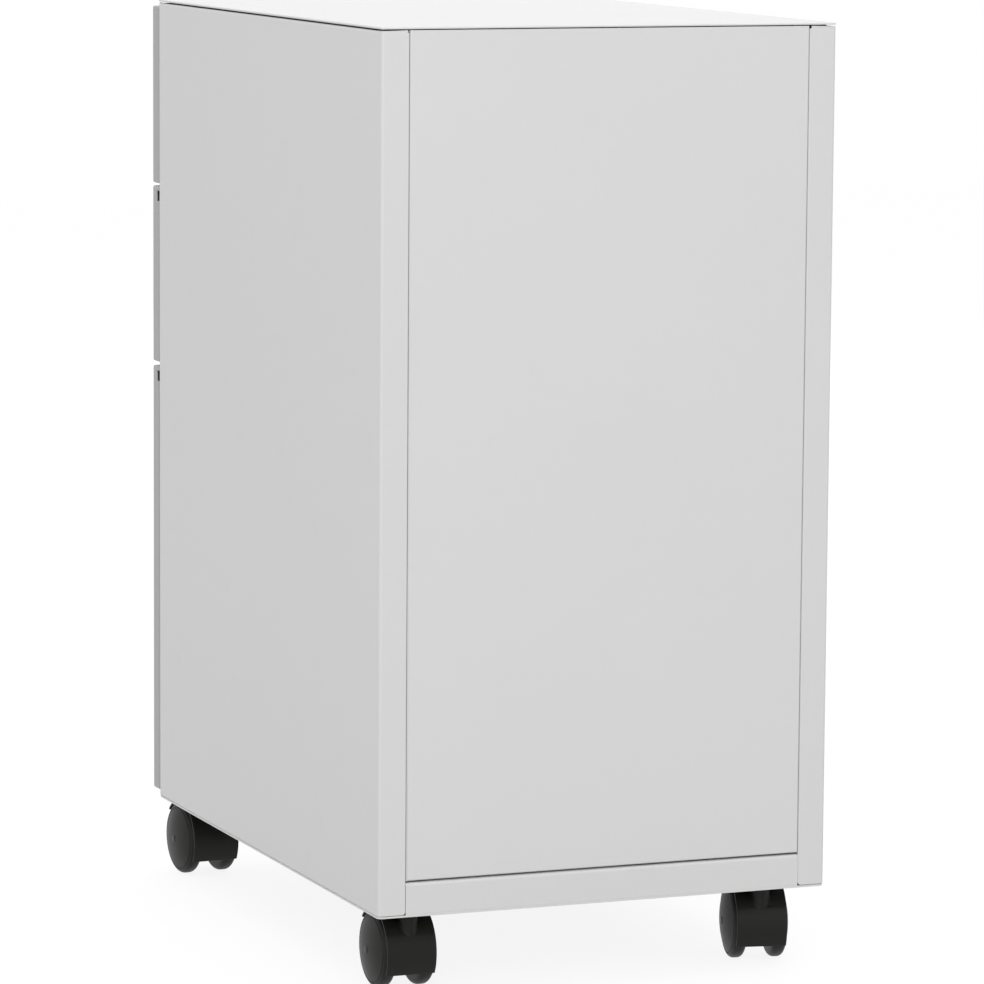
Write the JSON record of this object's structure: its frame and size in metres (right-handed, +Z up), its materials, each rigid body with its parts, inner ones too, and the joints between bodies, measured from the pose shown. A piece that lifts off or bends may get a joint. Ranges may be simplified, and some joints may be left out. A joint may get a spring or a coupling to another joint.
{
  "type": "mobile drawer cabinet",
  "caption": "Slim sheet-steel mobile pedestal: shallow drawers over a file drawer on ball slides, central lock bar, hooded twin-wheel castors.",
  "frame": {"origin": "on the floor, under the middle of the whole width and depth; the depth is from the front castors' wheels, as they are turned, to the rear panel", "axes": "+Z up, drawers open toward -Y, +X to the right seen from the front"},
  "size_m": [0.3, 0.4476, 0.596],
  "materials": {
    "shell_paint": "light grey powder coat, fine even grain, matt",
    "top_paint": "light grey powder coat, fine even grain, matt",
    "rear_paint": "light grey powder coat, fine even grain, matt",
    "front_paint": "mid grey powder coat, fine even grain, matt",
    "galvanised": "galvanised sheet, dull",
    "zinc": "bright zinc plate",
    "bright_steel": "ground and polished steel",
    "nickel": "satin nickel plate",
    "black_steel": "black stoved paint",
    "black_plastic": "black moulded plastic, satin",
    "rubber": "black rubber"
  },
  "bodies": {
    "carcass": {"side_panel_left": "shell_paint", "side_panel_right": "shell_paint", "top_panel": "top_paint", "rear_panel": "rear_paint", "bottom_pan": "shell_paint", "front_rail": "shell_paint", "slide_uprights": "galvanised", "top_cabinet_slides": "zinc", "middle_cabinet_slides": "zinc", "file_cabinet_slides": "zinc", "slide_screws": "zinc", "castor_stems": "black_steel", "castor_nuts": "zinc", "lock_bar_guides": "black_plastic", "drawer_bumpers": "rubber", "counterweight": "black_steel"},
    "top_drawer": {"top_drawer_front": "front_paint", "top_drawer_tray": "shell_paint", "top_drawer_pull": "black_plastic", "top_drawer_slides": "zinc", "top_drawer_fixings": "zinc", "lock_barrel": "nickel", "lock_nut": "zinc"},
    "top_ball_carriage": {"top_ball_cages": "zinc", "top_balls": "bright_steel"},
    "middle_drawer": {"middle_drawer_front": "front_paint", "middle_drawer_tray": "shell_paint", "middle_drawer_pull": "black_plastic", "middle_drawer_slides": "zinc", "middle_drawer_fixings": "zinc"},
    "middle_ball_carriage": {"middle_ball_cages": "zinc", "middle_balls": "bright_steel"},
    "file_drawer": {"file_drawer_front": "front_paint", "file_drawer_tray": "shell_paint", "file_drawer_pull": "black_plastic", "file_drawer_slides": "zinc", "file_drawer_fixings": "zinc", "file_rails": "galvanised"},
    "file_ball_carriage": {"file_ball_cages": "zinc", "file_balls": "bright_steel"},
    "lock_turner": {"lock_plug": "nickel", "lock_cam": "zinc"},
    "lock_bar_body": {"lock_bar": "galvanised"},
    "front_left_castor": {"front_left_hood": "black_plastic", "front_left_axle": "bright_steel"},
    "front_left_roller_a": {"front_left_wheel_a": "black_plastic"},
    "front_left_roller_b": {"front_left_wheel_b": "black_plastic"},
    "front_right_castor": {"front_right_hood": "black_plastic", "front_right_axle": "bright_steel"},
    "front_right_roller_a": {"front_right_wheel_a": "black_plastic"},
    "front_right_roller_b": {"front_right_wheel_b": "black_plastic"},
    "rear_left_castor": {"rear_left_hood": "black_plastic", "rear_left_axle": "bright_steel"},
    "rear_left_roller_a": {"rear_left_wheel_a": "black_plastic"},
    "rear_left_roller_b": {"rear_left_wheel_b": "black_plastic"},
    "rear_right_castor": {"rear_right_hood": "black_plastic", "rear_right_axle": "bright_steel"},
    "rear_right_roller_a": {"rear_right_wheel_a": "black_plastic"},
    "rear_right_roller_b": {"rear_right_wheel_b": "black_plastic"}
  },
  "joints": [
    {"name": "top_drawer_slide", "type": "slide", "parent": "carcass", "child": "top_drawer", "axis": [0, -1, 0], "range_m": [0, 0.3]},
    {"name": "top_ball_carriage_slide", "type": "slide", "parent": "carcass", "child": "top_ball_carriage", "axis": [0, -1, 0], "range_m": [0, 0.15]},
    {"name": "middle_drawer_slide", "type": "slide", "parent": "carcass", "child": "middle_drawer", "axis": [0, -1, 0], "range_m": [0, 0.3]},
    {"name": "middle_ball_carriage_slide", "type": "slide", "parent": "carcass", "child": "middle_ball_carriage", "axis": [0, -1, 0], "range_m": [0, 0.15]},
    {"name": "file_drawer_slide", "type": "slide", "parent": "carcass", "child": "file_drawer", "axis": [0, -1, 0], "range_m": [0, 0.3]},
    {"name": "file_ball_carriage_slide", "type": "slide", "parent": "carcass", "child": "file_ball_carriage", "axis": [0, -1, 0], "range_m": [0, 0.15]},
    {"name": "lock_turn", "type": "hinge", "parent": "top_drawer", "child": "lock_turner", "pos_m": [0.13, -0.21541, 0.5765], "axis": [0, -1, 0], "range_deg": [0, 90]},
    {"name": "lock_bar_slide", "type": "slide", "parent": "carcass", "child": "lock_bar_body", "axis": [0, 0, 1], "range_m": [0, 0.008]},
    {"name": "front_left_swivel", "type": "hinge", "parent": "carcass", "child": "front_left_castor", "pos_m": [-0.1195, -0.18091, 0.04], "axis": [0, 0, 1], "continuous": true},
    {"name": "front_left_spin_a", "type": "hinge", "parent": "front_left_castor", "child": "front_left_roller_a", "pos_m": [-0.1195, -0.19891, 0.024], "axis": [1, 0, 0], "continuous": true},
    {"name": "front_left_spin_b", "type": "hinge", "parent": "front_left_castor", "child": "front_left_roller_b", "pos_m": [-0.1195, -0.19891, 0.024], "axis": [1, 0, 0], "continuous": true},
    {"name": "front_right_swivel", "type": "hinge", "parent": "carcass", "child": "front_right_castor", "pos_m": [0.1195, -0.18091, 0.04], "axis": [0, 0, 1], "continuous": true},
    {"name": "front_right_spin_a", "type": "hinge", "parent": "front_right_castor", "child": "front_right_roller_a", "pos_m": [0.12076, -0.19887, 0.024], "axis": [0.9976, 0.0698, 0], "continuous": true},
    {"name": "front_right_spin_b", "type": "hinge", "parent": "front_right_castor", "child": "front_right_roller_b", "pos_m": [0.12076, -0.19887, 0.024], "axis": [0.9976, 0.0698, 0], "continuous": true},
    {"name": "rear_left_swivel", "type": "hinge", "parent": "carcass", "child": "rear_left_castor", "pos_m": [-0.1195, 0.19479, 0.04], "axis": [0, 0, 1], "continuous": true},
    {"name": "rear_left_spin_a", "type": "hinge", "parent": "rear_left_castor", "child": "rear_left_roller_a", "pos_m": [-0.12324, 0.17718, 0.024], "axis": [0.9781, -0.2079, 0], "continuous": true},
    {"name": "rear_left_spin_b", "type": "hinge", "parent": "rear_left_castor", "child": "rear_left_roller_b", "pos_m": [-0.12324, 0.17718, 0.024], "axis": [0.9781, -0.2079, 0], "continuous": true},
    {"name": "rear_right_swivel", "type": "hinge", "parent": "carcass", "child": "rear_right_castor", "pos_m": [0.1195, 0.19479, 0.04], "axis": [0, 0, 1], "continuous": true},
    {"name": "rear_right_spin_a", "type": "hinge", "parent": "rear_right_castor", "child": "rear_right_roller_a", "pos_m": [0.1195, 0.17679, 0.024], "axis": [1, 0, 0], "continuous": true},
    {"name": "rear_right_spin_b", "type": "hinge", "parent": "rear_right_castor", "child": "rear_right_roller_b", "pos_m": [0.1195, 0.17679, 0.024], "axis": [1, 0, 0], "continuous": true}
  ],
  "couplings": [
    {"joint": "top_ball_carriage_slide", "follows": "top_drawer_slide", "ratio": 0.5},
    {"joint": "middle_ball_carriage_slide", "follows": "middle_drawer_slide", "ratio": 0.5},
    {"joint": "file_ball_carriage_slide", "follows": "file_drawer_slide", "ratio": 0.5},
    {"joint": "lock_turn", "follows": "lock_bar_slide", "rad_per_m": 196.34}
  ]
}
